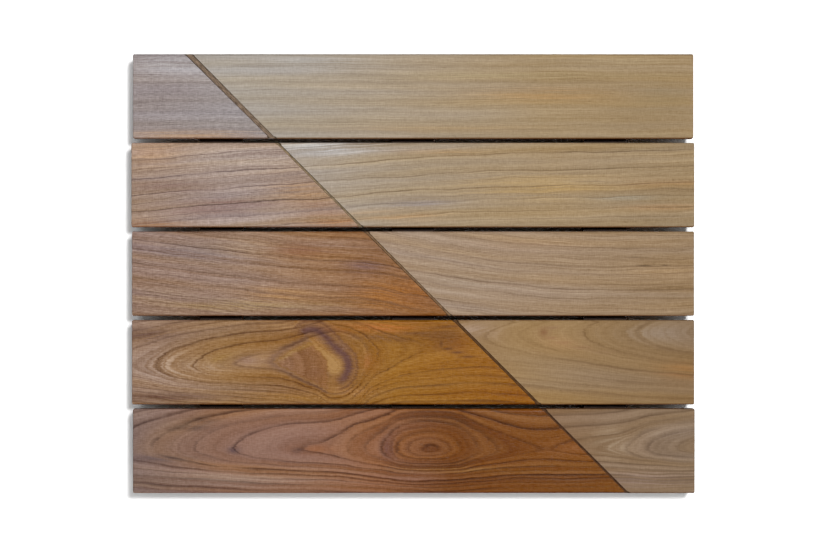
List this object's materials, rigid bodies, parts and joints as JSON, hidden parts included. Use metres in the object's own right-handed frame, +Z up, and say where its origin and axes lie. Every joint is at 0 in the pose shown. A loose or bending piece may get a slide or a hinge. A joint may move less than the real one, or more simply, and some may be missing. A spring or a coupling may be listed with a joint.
{
  "type": "decking board panel",
  "caption": "Flat panel of teak decking boards on cross battens, with open drainage gaps and a diagonal kerf that parts an oiled side from a bare one.",
  "frame": {"origin": "on the underside of the middle batten, at the centre of the panel", "axes": "+X along the boards, +Y across them towards board_1, +Z up out of the walking face"},
  "size_m": [0.6, 0.468, 0.039],
  "materials": {
    "teak_boards": "planed teak, oiled on one side of the kerf and bare on the other",
    "teak_battens": "sawn teak, unfinished",
    "screw_steel": "plain stainless steel"
  },
  "bodies": {
    "root": {"board_1": "teak_boards", "board_2": "teak_boards", "board_3": "teak_boards", "board_4": "teak_boards", "board_5": "teak_boards", "left_batten": "teak_battens", "middle_batten": "teak_battens", "right_batten": "teak_battens", "left_batten_screws": "screw_steel", "middle_batten_screws": "screw_steel", "right_batten_screws": "screw_steel"}
  },
  "joints": []
}
